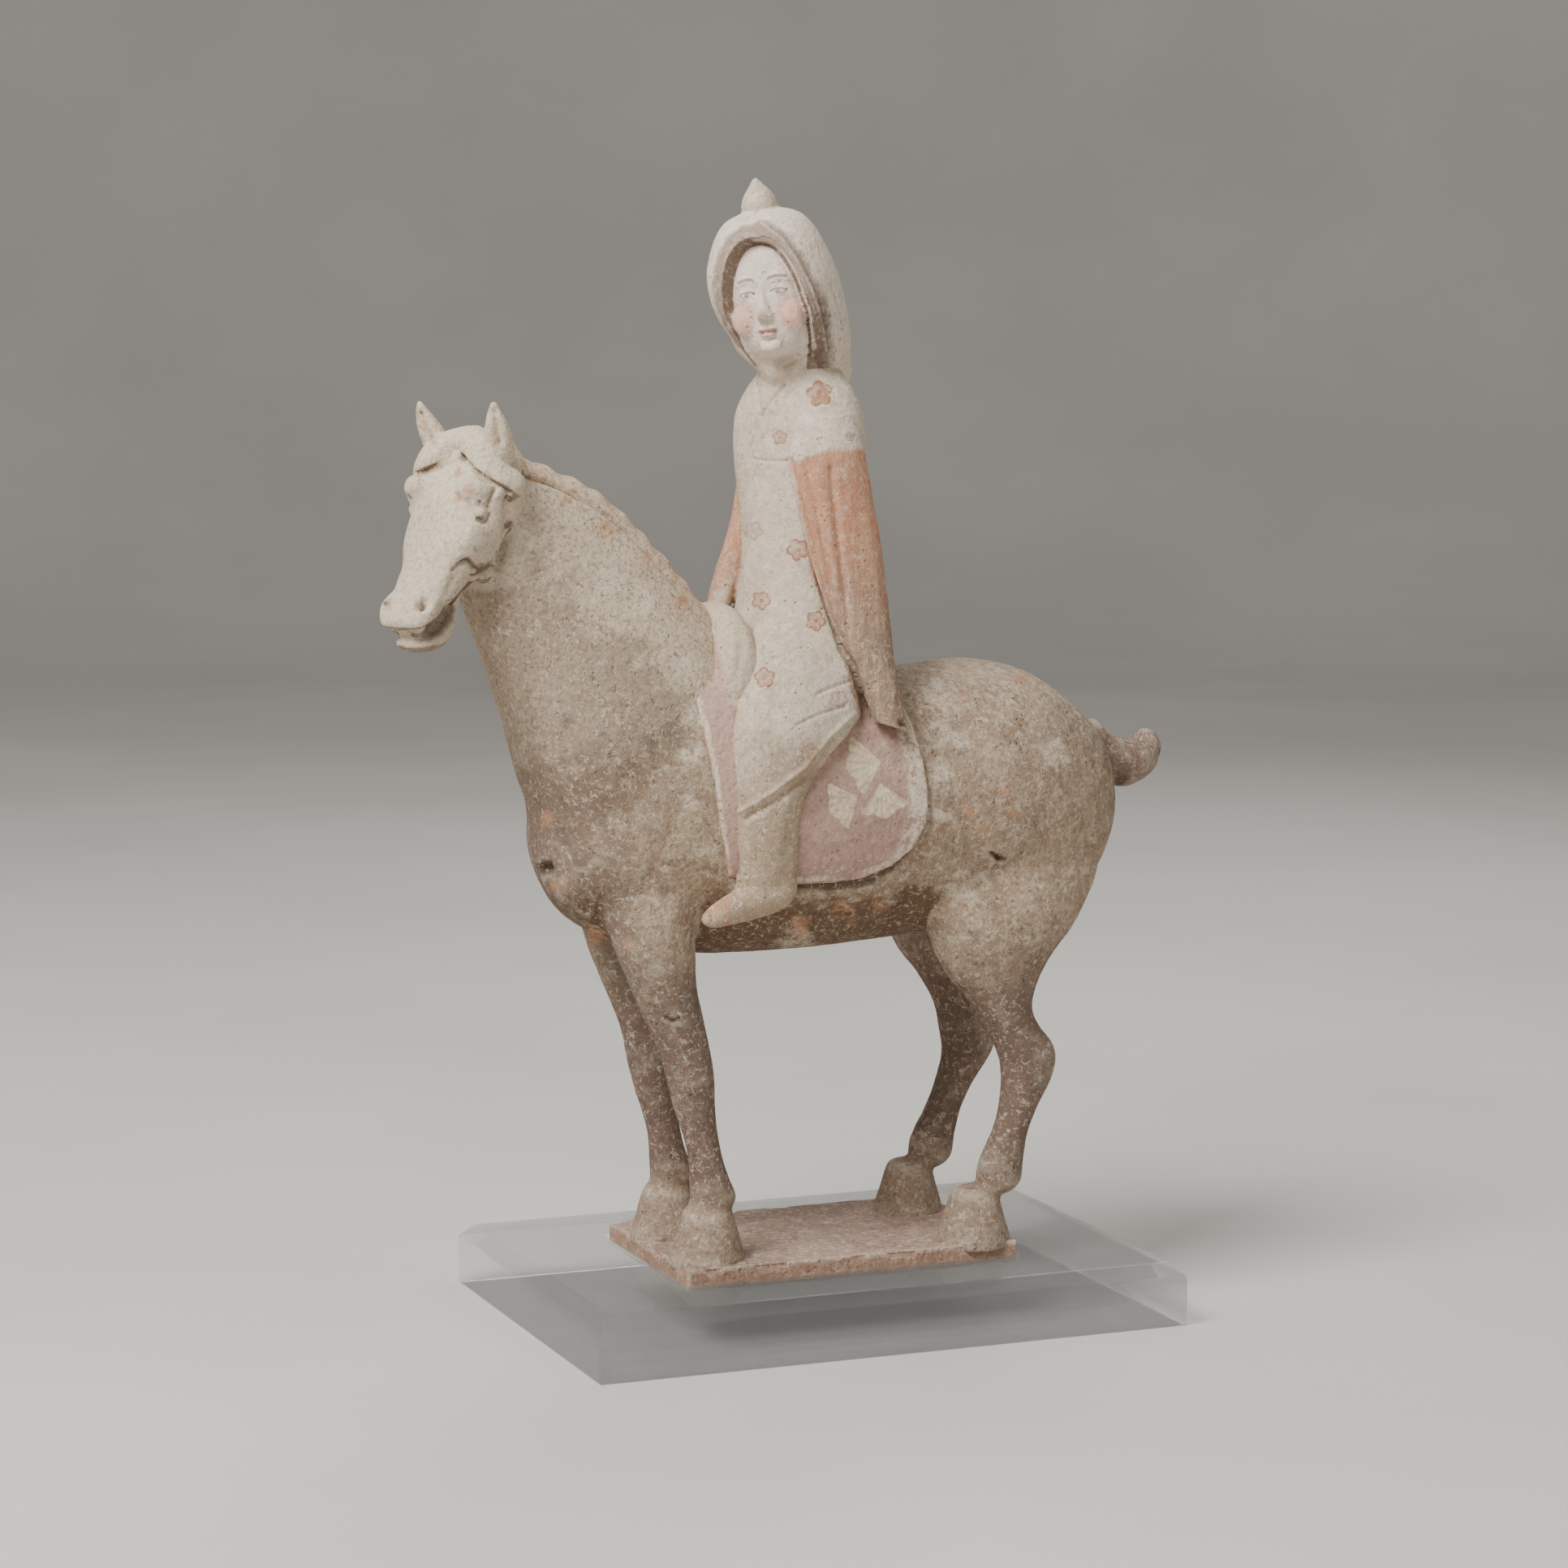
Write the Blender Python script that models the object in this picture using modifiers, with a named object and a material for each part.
"""Pottery horse and rider on its clear stand.

Blender 4.5, metres, +Z up. The horse looks towards -X and its left flank
faces -Y. The origin is the centre of the stand's underside.

The horse, the rider and the thin plate under the hooves are one fired piece.
Each part of the body is a loft through a few oval sections, as a potter
builds up rolls and slabs of clay, and the parts are then blended into one
skin. The clear stand is a bevelled slab with a shallow pocket for the plate.
"""
from math import cos, pi, radians, sin
from typing import NamedTuple

import bmesh
import bpy
from mathutils import Matrix, Vector

# Driving dimensions, in metres
FIGURE_HEIGHT = 0.420         # from the plate's top to the tip of the hood's knob
FIGURE_OFFSET_Y = -0.009      # the horse's middle plane, from the stand's middle
PLATE_LENGTH = 0.141
PLATE_WIDTH = 0.093
PLATE_THICKNESS = 0.0084
PLATE_CENTRE_X = -0.0030
PLATE_CENTRE_Y = -0.0030
PLATE_CORNER = 0.006          # radius of three corners
PLATE_FAR_CORNER = 0.018      # the far corner under the head is broken rounder
STAND_LENGTH = 0.247
STAND_WIDTH = 0.178
STAND_THICKNESS = 0.0254
STAND_CHAMFER = 0.0053
POCKET_DEPTH = 0.0030
POCKET_CORNER = 0.009
POCKET_CLEARANCE = 0.0012     # between the plate's edge and the pocket's wall
SEAT_GAP = 0.0003             # under the plate
HOOF_SINK = 0.0030            # how far the hooves are pressed into the plate
SKIN_VOXEL = 0.0015           # grain at which the rolls of clay are blended
SKIN_PASSES = 3               # smoothing of the finished skin
SKIN_FACES = 8600             # triangles kept on the blended skin

# The figure's own unit: its sections are given in millimetres of a 420 mm figure
UNIT = FIGURE_HEIGHT / 420.0
PLATE_BOTTOM = STAND_THICKNESS - POCKET_DEPTH + SEAT_GAP
PLATE_TOP = PLATE_BOTTOM + PLATE_THICKNESS
HOOF_SINK_UNITS = HOOF_SINK / UNIT

BODY_VOXEL = 2.0              # grain at which legs and neck run into the barrel, figure units
BODY_PASSES = 14
ROBE_PASSES = 8
RING_POINTS = 28              # points round each section
STEPS_PER_SPAN = 4            # sections made between two given ones


class Section(NamedTuple):
    """One oval section: its front and back (or upper and lower) points in X and Z."""
    front: tuple
    back: tuple
    half_width: float
    y: float = 0.0
    egg: float = 0.0          # above 0, wider at the front (or upper) end
    power: float = 2.0        # 2 is an ellipse, more is squarer
    yaw: float = 0.0          # degrees, about the vertical through the centre


def blend(sections):
    """Sections at even steps between the given ones, on a smooth curve."""
    rows = [(*s.front, *s.back, s.half_width, s.y, s.egg, s.power, s.yaw) for s in sections]
    last = len(rows) - 1
    result = []
    for i in range(last):
        before, start = rows[max(i - 1, 0)], rows[i]
        end, after = rows[i + 1], rows[min(i + 2, last)]
        for step in range(STEPS_PER_SPAN):
            t = step / STEPS_PER_SPAN
            row = []
            for p0, p1, p2, p3 in zip(before, start, end, after):
                value = 2 * p1 + (p2 - p0) * t + (2 * p0 - 5 * p1 + 4 * p2 - p3) * t * t
                row.append(0.5 * (value + (3 * p1 - p0 - 3 * p2 + p3) * t ** 3))
            result.append(row)
    result.append(list(rows[-1]))
    return result


def ring(row):
    """Points round one section, in figure units."""
    front_x, front_z, back_x, back_z, half_width, y, egg, power, yaw = row
    centre = Vector(((front_x + back_x) / 2, y, (front_z + back_z) / 2))
    along = Vector(((front_x - back_x) / 2, 0.0, (front_z - back_z) / 2))
    turn = Matrix.Rotation(radians(yaw), 3, "Z")
    points = []
    for i in range(RING_POINTS):
        c = cos(2 * pi * i / RING_POINTS)
        s = sin(2 * pi * i / RING_POINTS)
        reach = (abs(c) ** power + abs(s) ** power) ** (-1 / power)
        side = Vector((0.0, half_width * s * reach * (1 + egg * c), 0.0))
        points.append(centre + turn @ (along * c * reach + side))
    return points


def loft(target, sections, frame=None):
    """Add one closed roll through the sections to the target mesh."""
    rings = []
    for row in blend(sections):
        points = ring(row)
        if frame is not None:
            points = [frame @ p for p in points]
        rings.append([target.verts.new(p) for p in points])
    faces = []
    for low, high in zip(rings, rings[1:]):
        for i in range(RING_POINTS):
            j = (i + 1) % RING_POINTS
            faces.append(target.faces.new((low[i], low[j], high[j], high[i])))
    faces.append(target.faces.new(list(reversed(rings[0]))))
    faces.append(target.faces.new(rings[-1]))
    bmesh.ops.recalc_face_normals(target, faces=faces)


def tube(target, path, frame=None):
    """Add a round roll along (x, y, z, radius) points; its rings stay level across Y."""
    sections = []
    for i, (x, y, z, radius) in enumerate(path):
        before, after = path[max(i - 1, 0)], path[min(i + 1, len(path) - 1)]
        run = Vector((after[0] - before[0], 0.0, after[2] - before[2]))
        run = run.normalized() if run.length > 1e-6 else Vector((1.0, 0.0, 0.0))
        front = (x - run.z * radius, z + run.x * radius)
        back = (x + run.z * radius, z - run.x * radius)
        sections.append(Section(front, back, radius, y))
    loft(target, sections, frame)


def ellipsoid(target, centre, radii, turn=0.0, frame=None):
    """Add an egg of clay; turn tips it about Y, in degrees."""
    tipped = Matrix.Rotation(radians(turn), 4, "Y") @ Matrix.Diagonal((*radii, 1.0))
    matrix = Matrix.Translation(centre) @ tipped
    if frame is not None:
        matrix = frame @ matrix
    bmesh.ops.create_uvsphere(target, u_segments=28, v_segments=18, radius=1.0, matrix=matrix)


def part_frame(x, y, yaw, roll=0.0, z=0.0):
    """Place of a head or a trunk that is turned on the body."""
    move = Matrix.Translation((x, y, z))
    turn = Matrix.Rotation(radians(yaw), 4, "Z") @ Matrix.Rotation(radians(-roll), 4, "X")
    return move @ turn @ Matrix.Translation((0.0, 0.0, -z))


# The horse

BARREL = [
    Section((-121.5, 174), (-121, 158), 12),
    Section((-117.5, 184), (-115, 142), 24.5),
    Section((-106, 201), (-104, 131), 33.5),
    Section((-86, 226), (-85, 123), 40.5),
    Section((-60, 242), (-60, 118), 43),
    Section((-30, 236), (-30, 117), 45),
    Section((0, 231), (0, 118), 46),
    Section((30, 229), (30, 120), 46),
    Section((60, 231), (58, 121), 46),
    Section((84, 226), (80, 122), 43),
    Section((104, 214), (97, 126), 36),
    Section((118, 199), (112, 138), 25),
    Section((126, 180), (124, 158), 9),
]

NECK = [
    Section((-112, 150), (-28, 222), 36.5, 0, 0.12, 2.5),
    Section((-121, 177), (-48, 248), 37, 0, 0.18, 2.5),
    Section((-129.5, 202), (-63, 267), 33, 0, 0.18, 2.4),
    Section((-138, 226), (-83, 289), 27, -1, 0.16, 2.1),
    Section((-145, 243), (-99, 301.5), 23, -2, 0.14),
    Section((-150, 256), (-114, 309), 20, -2, 0.12),
    Section((-153, 268), (-128, 314), 18, -3, 0.08),
    Section((-156, 280), (-140, 315), 14, -4),
]

TAIL = [
    (112, 0, 196, 12),
    (122, 0, 189, 9),
    (131, 0, 186.5, 7.6),
    (139, 0, 188, 6.8),
    (145, 0, 192, 5.8),
    (148, 0, 196, 2.6),
]


def fore_leg(front, elbow, y):
    """Foreleg from the shoulder to the fetlock; front and elbow shift its upper edges back."""
    return [
        Section((-98, 170), (-66, 170), 10, y * 0.7),
        Section((-102 + front, 148), (-62 + elbow, 148), 15, y * 0.9),
        Section((-98 + front, 128), (-64 + elbow, 128), 14.5, y),
        Section((-90 + front * 0.8, 108), (-63.5 + elbow * 0.8, 108), 12, y),
        Section((-80 + front * 0.5, 86), (-58.5 + elbow * 0.4, 86), 10, y),
        Section((-75.5, 72), (-56, 72), 9.5, y),
        Section((-72.5, 60), (-55.5, 60), 8.2, y),
        Section((-68.5, 48), (-54, 48), 7.2, y),
        Section((-66.5, 38), (-52, 38), 7.2, y),
        Section((-66, 28), (-49, 29), 8.2, y),
        Section((-66, 22), (-46, 24), 8.6, y),
        Section((-66, 18), (-50, 18.5), 8.2, y),
    ]


def hind_leg(stifle, cannon, y):
    """Hind leg to the fetlock; stifle shifts its upper front edge back, cannon its lower half."""
    return [
        Section((48, 172), (104, 172), 12, y * 0.6),
        Section((35, 150), (110, 150), 18, y * 0.76),
        Section((33 + stifle * 0.5, 130), (99, 128), 18, y * 0.9),
        Section((39 + stifle, 111), (85, 111), 14.5, y * 0.97),
        Section((50 + stifle, 97), (78, 96), 11.5, y),
        Section((57.5 + stifle * 0.8, 85), (80, 86), 10, y),
        Section((63, 75), (88, 76), 9.6, y),
        Section((65, 65), (88, 66), 9, y),
        Section((64 + cannon * 0.5, 53), (81.5 + cannon * 0.5, 53), 7.8, y),
        Section((60.5 + cannon * 0.8, 41), (76.5 + cannon * 0.8, 41), 7.4, y),
        Section((55.5 + cannon, 30), (74.5 + cannon, 30), 8.2, y),
        Section((54 + cannon, 23), (74 + cannon, 22), 8.8, y),
        Section((56 + cannon, 17), (68 + cannon, 17), 7.6, y),
    ]


def hoof(toe, heel, y):
    """Cone-shaped hoof between its toe and heel on the plate."""
    length = heel - toe
    sink = HOOF_SINK_UNITS
    return [
        Section((toe + 8, 21), (heel - 7, 21), length * 0.24, y),
        Section((toe + 5.5, 18.5), (heel - 5, 18), length * 0.34, y),
        Section((toe + 3.2, 10), (heel - 2.6, 10), length * 0.42, y),
        Section((toe + 0.6, 2), (heel - 0.4, 2), length * 0.48, y),
        Section((toe, -sink / 2), (heel, -sink / 2), length * 0.49, y),
        Section((toe, -sink), (heel, -sink), length * 0.49, y),
    ]


NEAR_FORE_Y, FAR_FORE_Y = -23, 23
NEAR_HIND_Y, FAR_HIND_Y = -29, 29
FORE_HOOF = (-74, -44)        # toe and heel
NEAR_HIND_HOOF = (38, 68)
FAR_HIND_HOOF = (35, 64)
FAR_FORE_SHIFT = (3, 16)      # front and elbow: the far foreleg is slimmer
FAR_HIND_SHIFT = (5, -4.5)    # stifle and cannon: the far hind foot stands further forward

# The horse's head, in a frame at the top of the neck that is turned to its left
HORSE_HEAD = part_frame(-138, -3, 31)

SKULL = [
    Section((-6, 325), (4, 322), 8),
    Section((-17, 319), (8, 312), 15),
    Section((-24, 312), (6, 301), 19, 0, 0.05, 2.5),
    Section((-30, 303), (0, 292), 21.5, 0, 0.1, 3),
    Section((-34, 293.5), (-6, 283), 19.5, 0, 0.1, 3),
    Section((-38, 284), (-12, 275), 17.5, 0.5, 0.1, 2.8),
    Section((-43, 274), (-22, 268), 14.3, 0.5, 0.05, 2.5),
    Section((-48.5, 265.5), (-30, 261.5), 12.8, 0.5),
    Section((-53, 260.5), (-38, 258), 13.4, 0.5),
    Section((-56, 254.5), (-44, 252), 11.5),
    Section((-54, 250), (-48, 249), 7.5),
]

LOWER_JAW = [
    Section((-31, 270), (-10, 272), 12),
    Section((-32.5, 262), (-25, 265), 9),
    Section((-34, 256.5), (-27.5, 257), 8.4),
    Section((-39, 252), (-30, 248.5), 8.8),
    Section((-44, 248.5), (-37, 243), 8.8),
    Section((-48.5, 246.5), (-45, 242.5), 6.5),
]

# Middle, radii and tip of the cheeks
CHEEK_X, CHEEK_Y, CHEEK_Z = -14, 8, 282
CHEEK_RADII = (9, 7, 15)
CHEEK_TIP = 14

FORELOCK_NEAR = [
    (-8, -1, 319.5, 8),
    (-15, -8, 316, 8.5),
    (-15, -14, 309, 8.5),
    (-11, -18, 303, 7),
    (-7, -19.5, 298, 4),
]

FORELOCK_FAR = [
    (-8, 1, 319.5, 8),
    (-15, 8, 316, 8.5),
    (-17, 13, 310, 7.5),
    (-18, 16, 305, 4.5),
]


def ear(side):
    """Leaf-shaped ear on one side, -1 for the near one; it tips forward and out."""
    return [
        Section((-17, 312), (-7, 313), 5.5, side * 14.5),
        Section((-19, 318), (-9, 320), 6, side * 15.5),
        Section((-21, 325), (-13, 327), 5, side * 17),
        Section((-22, 331), (-17, 332), 3, side * 18),
        Section((-21.5, 335.5), (-20, 336), 0.9, side * 18.7),
    ]


# The rider, turned a little to the left from the hips up

TRUNK = [
    Section((-22, 354), (-2, 356), 10, 0, 0, 2, 34),
    Section((-23, 344), (1, 346), 14, 0, 0, 2, 34),
    Section((-26, 338), (4, 340), 22, 0, 0, 2, 33),
    Section((-28, 329), (6, 330), 28, 0, 0, 2.2, 32),
    Section((-29, 315), (8, 315), 29, 0, 0, 2.2, 31),
    Section((-30, 300), (8, 300), 27, 0, 0, 2.1, 28),
    Section((-31, 285), (8, 285), 24.5, 0, 0, 2, 24),
    Section((-33, 266), (10, 266), 24, 0, 0, 2, 18),
    Section((-36, 250), (14, 250), 28, 0, 0, 2, 10),
    Section((-40, 234), (18, 234), 35, 0, 0, 2, 4),
    Section((-44, 216), (18, 218), 42),
    Section((-40, 200), (10, 204), 40),
]

NEAR_SLEEVE = [
    Section((-18, 328), (4, 330), 7, -20),
    Section((-25, 314), (6, 316), 8.5, -25),
    Section((-23, 296), (8.5, 297), 8.5, -28),
    Section((-19, 279), (11, 280), 8.5, -30),
    Section((-15, 263), (12, 264), 8.2, -33),
    Section((-10, 247), (12.5, 248), 7.6, -36),
    Section((-3, 232), (13, 233), 7, -39),
    Section((1, 219), (14.5, 220), 6.4, -42),
    Section((3, 211), (16.5, 207), 5.8, -44),
]

FAR_SLEEVE = [
    (-18, 17, 322, 7),
    (-20, 22, 304, 7.5),
    (-22, 24, 289, 7.5),
    (-27, 23, 276, 6.6),
    (-35, 17, 262, 6),
    (-42, 13, 251, 4.2),
]


def rider_leg(side):
    """Robe and leg hanging over the flank, -1 for the near side."""
    return [
        Section((-28, 258), (-8, 258), 5, side * 12),
        Section((-44, 241), (5, 240), 12, side * 24),
        Section((-53, 222), (2, 222), 13, side * 33),
        Section((-58, 208), (-5, 208), 12.5, side * 39),
        Section((-58, 195), (-18, 196), 11.5, side * 42.5),
        Section((-57, 180), (-26, 181), 10.5, side * 44),
        Section((-56, 165), (-28, 166), 9.5, side * 44.5),
        Section((-55, 152), (-30, 152), 8.5, side * 44.5),
        Section((-53, 143), (-31, 143), 7, side * 45),
    ]


def boot(side):
    """Boot pointing forward under the robe."""
    return [
        Section((-71.5, 139), (-71, 136), 2.5, side * 49),
        Section((-66, 143), (-66, 134.5), 5.5, side * 49),
        Section((-57, 147), (-57, 135.5), 6.5, side * 48),
        Section((-45, 152), (-45, 137.5), 7, side * 47),
        Section((-35, 154), (-35, 140), 6.5, side * 46),
        Section((-30, 151), (-30.5, 145), 3, side * 45),
    ]


POMMEL = [
    Section((-50, 240), (-50, 196), 30),
    Section((-47, 252), (-47, 194), 34),
    Section((-42, 257.5), (-42, 194), 35.5),
    Section((-37, 255), (-37, 196), 34),
    Section((-34, 246), (-34, 200), 29),
]

CLOTH_THICKNESS = 2.6
CLOTH_REACH = 70              # half width of the cutting block, past both flanks
CLOTH_OUTLINE = [
    (-67, 250), (-67, 222), (-64, 200), (-61, 176), (-56, 153), (-44, 150),
    (-30, 149), (-16, 149), (-2, 150), (9, 154), (18, 161), (23, 170),
    (24.5, 181), (23.5, 194), (21.5, 208), (18, 222), (12, 250),
]

# The rider's hood and head, in a frame at the base of the neck
RIDER_HEAD = part_frame(-15, 0, 50, 8, 345)

HOOD = [
    Section((-14, 409), (-2, 410), 6),
    Section((-23, 405), (7, 407), 15),
    Section((-29, 397), (14, 398), 21),
    Section((-32, 384), (19, 385), 25),
    Section((-32, 370), (24, 371), 24.8, -1.5),
    Section((-27, 358), (28, 358), 21.5, -3.8),
    Section((-17, 349), (30, 348), 18, -4.5),
    Section((-4, 344), (29, 341), 14, -6.5),
    Section((10, 342), (24, 336.5), 9, -8.5),
]

OPENING_Y = -3.0              # the opening sits a little to the left of the hood's middle

HOOD_OPENING = [
    Section((-60, 402), (-25, 397), 8, OPENING_Y),
    Section((-62, 395), (-20, 392), 15.5, OPENING_Y),
    Section((-62, 382), (-15, 380), 20, OPENING_Y),
    Section((-62, 366), (-11, 366), 21.5, OPENING_Y),
    Section((-62, 352), (-7, 354), 20, OPENING_Y),
    Section((-62, 334), (-3, 340), 15, OPENING_Y),
]

FACE = [
    Section((-19, 398), (-2, 398), 9, OPENING_Y),
    Section((-24, 392), (0, 392), 14, OPENING_Y),
    Section((-26, 382), (0, 382), 16.5, OPENING_Y),
    Section((-26.5, 372), (0, 372), 17, OPENING_Y),
    Section((-26, 362), (0, 362), 15.5, OPENING_Y),
    Section((-23, 354.5), (0, 356), 12, OPENING_Y * 0.7),
    Section((-16, 349), (0, 349), 10, OPENING_Y * 0.4),
]

KNOB = [
    Section((-16, 405), (-2, 405), 6.5),
    Section((-17, 410), (-1, 410), 7.2),
    Section((-15.5, 414.5), (-2.5, 414.5), 6),
    Section((-12.8, 418.5), (-6.2, 418.5), 3),
    Section((-10.6, 421.5), (-9.4, 421.5), 0.6),
]


def finish_mesh(bm, name, collection):
    """Turn a bmesh into an object of the given collection."""
    mesh = bpy.data.meshes.new(name)
    bm.to_mesh(mesh)
    bm.free()
    obj = bpy.data.objects.new(name, mesh)
    collection.objects.link(obj)
    return obj


def settle(obj):
    """Replace an object's mesh by what its modifiers make of it."""
    bpy.context.view_layer.update()
    evaluated = obj.evaluated_get(bpy.context.evaluated_depsgraph_get())
    mesh = bpy.data.meshes.new_from_object(evaluated)
    obj.modifiers.clear()
    obj.data = mesh


def boolean(obj, other, operation):
    """Join, cut or intersect two closed shapes and drop the second one."""
    modifier = obj.modifiers.new(operation.title(), "BOOLEAN")
    modifier.operation = operation
    modifier.solver = "EXACT"
    modifier.object = other
    settle(obj)
    bpy.data.objects.remove(other)


def cut_hood(collection):
    """The hood with its opening, as one closed shape in figure units."""
    bm = bmesh.new()
    loft(bm, HOOD, RIDER_HEAD)
    hood = finish_mesh(bm, "hood_shape", collection)
    bm = bmesh.new()
    loft(bm, HOOD_OPENING, RIDER_HEAD)
    opening = finish_mesh(bm, "hood_opening", collection)
    boolean(hood, opening, "DIFFERENCE")
    return hood


def saddle_cloth(collection):
    """A layer of the flanks' own curve, cut to the cloth's outline."""
    wider = []
    for section in BARREL:
        top_x, top_z = section.front
        low_x, low_z = section.back
        top = (top_x, top_z + CLOTH_THICKNESS)
        low = (low_x, low_z - CLOTH_THICKNESS)
        wider.append(Section(top, low, section.half_width + CLOTH_THICKNESS))
    bm = bmesh.new()
    loft(bm, wider)
    layer = finish_mesh(bm, "cloth_layer", collection)
    bm = bmesh.new()
    near = [bm.verts.new((x, -CLOTH_REACH, z)) for x, z in CLOTH_OUTLINE]
    block = bmesh.ops.extrude_face_region(bm, geom=[bm.faces.new(near)])
    far = [v for v in block["geom"] if isinstance(v, bmesh.types.BMVert)]
    bmesh.ops.translate(bm, vec=(0.0, 2 * CLOTH_REACH, 0.0), verts=far)
    bmesh.ops.recalc_face_normals(bm, faces=bm.faces)
    outline = finish_mesh(bm, "cloth_outline", collection)
    boolean(layer, outline, "INTERSECT")
    return layer


def joined(name, meshes, collection):
    """One object holding several meshes as they are."""
    bm = bmesh.new()
    for mesh in meshes:
        bm.from_mesh(mesh)
    return finish_mesh(bm, name, collection)


def skin(obj, voxel, passes):
    """Blend overlapping closed shapes into one smooth skin."""
    cover = obj.modifiers.new("Skin", "REMESH")
    cover.mode = "VOXEL"
    cover.voxel_size = voxel
    soften = obj.modifiers.new("Soften", "SMOOTH")
    soften.factor = 0.5
    soften.iterations = passes
    settle(obj)


def horse_body(collection):
    """Barrel, neck, tail and legs, with soft shoulders and thighs."""
    bm = bmesh.new()
    loft(bm, BARREL)
    loft(bm, NECK)
    tube(bm, TAIL)
    loft(bm, fore_leg(0, 0, NEAR_FORE_Y))
    loft(bm, fore_leg(*FAR_FORE_SHIFT, FAR_FORE_Y))
    loft(bm, hind_leg(0, 0, NEAR_HIND_Y))
    loft(bm, hind_leg(*FAR_HIND_SHIFT, FAR_HIND_Y))
    body = finish_mesh(bm, "horse_body", collection)
    skin(body, BODY_VOXEL, BODY_PASSES)
    return body


def rider_robe(collection):
    """Trunk and hanging legs under one robe."""
    bm = bmesh.new()
    loft(bm, TRUNK)
    for side in (-1, 1):
        loft(bm, rider_leg(side))
    robe = finish_mesh(bm, "rider_robe", collection)
    skin(robe, BODY_VOXEL, ROBE_PASSES)
    return robe


def small_parts(collection):
    """Heads, hooves, sleeves, boots and the saddle's arch."""
    bm = bmesh.new()
    loft(bm, hoof(*FORE_HOOF, NEAR_FORE_Y))
    loft(bm, hoof(*FORE_HOOF, FAR_FORE_Y))
    loft(bm, hoof(*NEAR_HIND_HOOF, NEAR_HIND_Y))
    loft(bm, hoof(*FAR_HIND_HOOF, FAR_HIND_Y))
    loft(bm, SKULL, HORSE_HEAD)
    loft(bm, LOWER_JAW, HORSE_HEAD)
    tube(bm, FORELOCK_NEAR, HORSE_HEAD)
    tube(bm, FORELOCK_FAR, HORSE_HEAD)
    for side in (-1, 1):
        loft(bm, ear(side), HORSE_HEAD)
        middle = (CHEEK_X, side * CHEEK_Y, CHEEK_Z)
        ellipsoid(bm, middle, CHEEK_RADII, CHEEK_TIP, HORSE_HEAD)
        loft(bm, boot(side))
    loft(bm, NEAR_SLEEVE)
    tube(bm, FAR_SLEEVE)
    loft(bm, POMMEL)
    loft(bm, FACE, RIDER_HEAD)
    loft(bm, KNOB, RIDER_HEAD)
    return finish_mesh(bm, "small_parts", collection)


def figure_shapes(collection):
    """Every part of the horse and the rider, as overlapping closed shapes in figure units."""
    parts = [
        horse_body(collection),
        rider_robe(collection),
        small_parts(collection),
        cut_hood(collection),
        saddle_cloth(collection),
    ]
    figure = joined("horse_and_rider", [part.data for part in parts], collection)
    for part in parts:
        bpy.data.objects.remove(part)
    return figure


def rounded_outline(half_x, half_y, radii, steps=5):
    """Corners of a rounded rectangle, one radius a corner, from +X +Y round."""
    points = []
    signs = [(1, 1), (-1, 1), (-1, -1), (1, -1)]
    for k, (sx, sy) in enumerate(signs):
        radius = radii[k]
        for step in range(steps + 1):
            angle = pi / 2 * (k + step / steps)
            x = sx * (half_x - radius) + radius * cos(angle)
            y = sy * (half_y - radius) + radius * sin(angle)
            points.append((x, y))
    return points


def prism(name, outline, centre, bottom, top, collection):
    """Upright prism over a flat outline."""
    bm = bmesh.new()
    low = [bm.verts.new((centre[0] + x, centre[1] + y, bottom)) for x, y in outline]
    base = bm.faces.new(list(reversed(low)))
    raised = bmesh.ops.extrude_face_region(bm, geom=[base])
    verts = [v for v in raised["geom"] if isinstance(v, bmesh.types.BMVert)]
    bmesh.ops.translate(bm, vec=(0.0, 0.0, top - bottom), verts=verts)
    bmesh.ops.recalc_face_normals(bm, faces=bm.faces)
    return finish_mesh(bm, name, collection)


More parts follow.
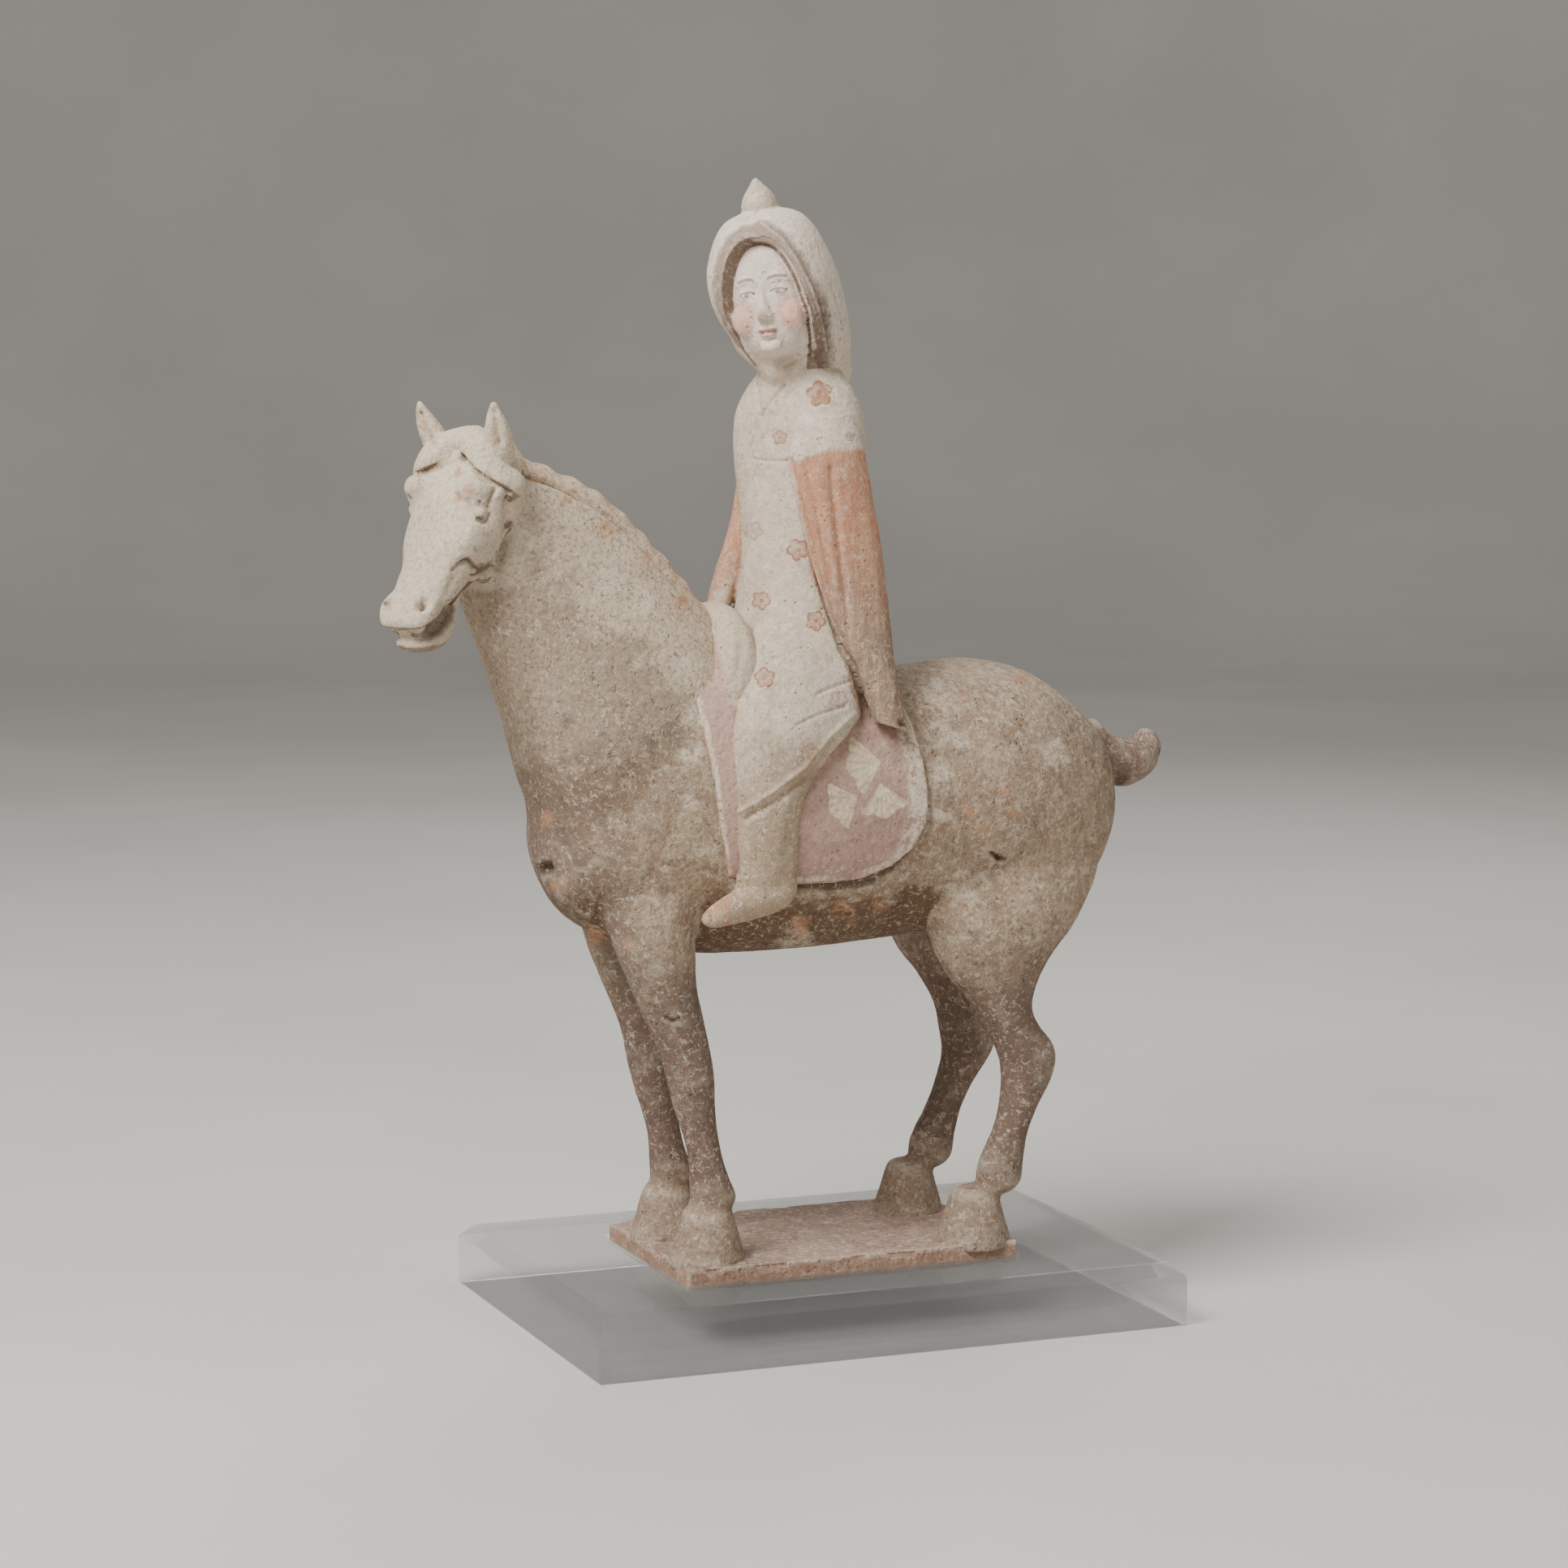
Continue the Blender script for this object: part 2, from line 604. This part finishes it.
def make_figure(collection):
    """Blend the figure's rolls into one skin and join it to its plate."""
    figure = figure_shapes(collection)
    place = Matrix.Translation((0.0, FIGURE_OFFSET_Y, PLATE_TOP)) @ Matrix.Scale(UNIT, 4)
    figure.data.transform(place)
    skin(figure, SKIN_VOXEL, SKIN_PASSES)
    thin = figure.modifiers.new("Thin", "DECIMATE")
    thin.ratio = SKIN_FACES / sum(len(face.vertices) - 2 for face in figure.data.polygons)
    settle(figure)
    corners = (PLATE_CORNER, PLATE_FAR_CORNER, PLATE_CORNER, PLATE_CORNER)
    outline = rounded_outline(PLATE_LENGTH / 2, PLATE_WIDTH / 2, corners)
    centre = (PLATE_CENTRE_X, PLATE_CENTRE_Y)
    plate = prism("plate", outline, centre, PLATE_BOTTOM, PLATE_TOP, collection)
    boolean(figure, plate, "UNION")
    return figure


def make_stand(collection):
    """Clear slab with bevelled upper edges and the plate's pocket."""
    bm = bmesh.new()
    size = (STAND_LENGTH, STAND_WIDTH, STAND_THICKNESS, 1.0)
    lift = Matrix.Translation((0.0, 0.0, STAND_THICKNESS / 2))
    bmesh.ops.create_cube(bm, size=1.0, matrix=lift @ Matrix.Diagonal(size))
    upper = [e for e in bm.edges if all(v.co.z > STAND_THICKNESS / 2 for v in e.verts)]
    bmesh.ops.bevel(bm, geom=upper, offset=STAND_CHAMFER, segments=1, affect="EDGES")
    stand = finish_mesh(bm, "clear_stand", collection)
    half_x = PLATE_LENGTH / 2 + POCKET_CLEARANCE
    half_y = PLATE_WIDTH / 2 + POCKET_CLEARANCE
    outline = rounded_outline(half_x, half_y, (POCKET_CORNER,) * 4)
    floor = STAND_THICKNESS - POCKET_DEPTH
    centre = (PLATE_CENTRE_X, PLATE_CENTRE_Y)
    pocket = prism("pocket", outline, centre, floor, STAND_THICKNESS + POCKET_DEPTH, collection)
    boolean(stand, pocket, "DIFFERENCE")
    return stand


def principled(name, colour, roughness, transmission=0.0):
    """Plain material of one part."""
    material = bpy.data.materials.new(name)
    material.use_nodes = True
    shader = material.node_tree.nodes["Principled BSDF"]
    shader.inputs["Base Color"].default_value = (*colour, 1.0)
    shader.inputs["Roughness"].default_value = roughness
    shader.inputs["Metallic"].default_value = 0.0
    shader.inputs["Transmission Weight"].default_value = transmission
    return material


def main():
    """Build the figure and its stand."""
    for obj in list(bpy.data.objects):
        bpy.data.objects.remove(obj)
    collection = bpy.data.collections.new("pottery_horse_and_rider")
    bpy.context.scene.collection.children.link(collection)
    figure = make_figure(collection)
    figure.data.materials.clear()
    figure.data.materials.append(principled("fired_clay", (0.42, 0.33, 0.25), 0.9))
    figure.data.shade_smooth()
    stand = make_stand(collection)
    stand.data.materials.clear()
    stand.data.materials.append(principled("clear_acrylic", (0.9, 0.93, 0.93), 0.05, 1.0))


main()
